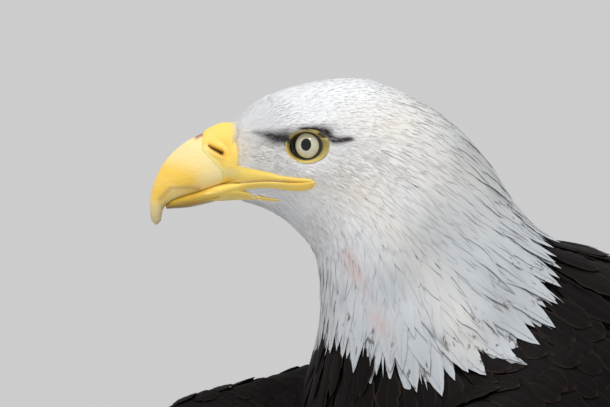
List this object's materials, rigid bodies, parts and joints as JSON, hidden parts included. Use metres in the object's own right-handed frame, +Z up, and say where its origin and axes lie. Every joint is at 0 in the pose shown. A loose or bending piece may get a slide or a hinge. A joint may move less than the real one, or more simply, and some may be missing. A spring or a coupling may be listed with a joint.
{
  "type": "bald eagle figure",
  "caption": "Life-size adult bald eagle standing on the floor with folded wings and its head turned to its right.",
  "frame": {"origin": "on the floor, under the middle of the bird's bounding box", "axes": "+Z up; the body faces -Y and its left side is at +X; the head is turned 30 degrees to the bird's right"},
  "size_m": [0.2908, 0.5924, 0.6002],
  "materials": {
    "white_feathers": "soft white contour feathers and neck hackles, matt",
    "dark_feathers": "dark brown contour feathers with paler edges, soft sheen",
    "flight_feathers": "stiff dark brown vanes with pale shafts, soft sheen",
    "tail_feathers": "stiff white vanes with pale shafts, matt",
    "bare_yellow_skin": "bare yellow skin, finely creased, waxy",
    "bill_horn": "yellow horn, pale at the tip, smooth and waxy",
    "eye": "wet eye, pale cream iris with a black pupil",
    "scaled_yellow_skin": "yellow skin in horny plates and small scales",
    "claw_horn": "black horn, polished toward the tip"
  },
  "bodies": {
    "root": {"head": "white_feathers", "neck": "white_feathers", "breast": "dark_feathers", "trunk": "dark_feathers", "wing_left": "dark_feathers", "wing_right": "dark_feathers", "thigh_left": "dark_feathers", "thigh_right": "dark_feathers", "flight_feathers_left": "flight_feathers", "flight_feathers_right": "flight_feathers", "tail": "tail_feathers", "cere": "bare_yellow_skin", "bill_upper": "bill_horn", "bill_lower": "bill_horn", "eye_left": "eye", "eye_right": "eye", "shank_left": "scaled_yellow_skin", "shank_right": "scaled_yellow_skin", "toe_left_inner": "scaled_yellow_skin", "toe_left_middle": "scaled_yellow_skin", "toe_left_outer": "scaled_yellow_skin", "toe_left_hind": "scaled_yellow_skin", "toe_right_inner": "scaled_yellow_skin", "toe_right_middle": "scaled_yellow_skin", "toe_right_outer": "scaled_yellow_skin", "toe_right_hind": "scaled_yellow_skin", "claw_left_inner": "claw_horn", "claw_left_middle": "claw_horn", "claw_left_outer": "claw_horn", "claw_left_hind": "claw_horn", "claw_right_inner": "claw_horn", "claw_right_middle": "claw_horn", "claw_right_outer": "claw_horn", "claw_right_hind": "claw_horn"}
  },
  "joints": []
}
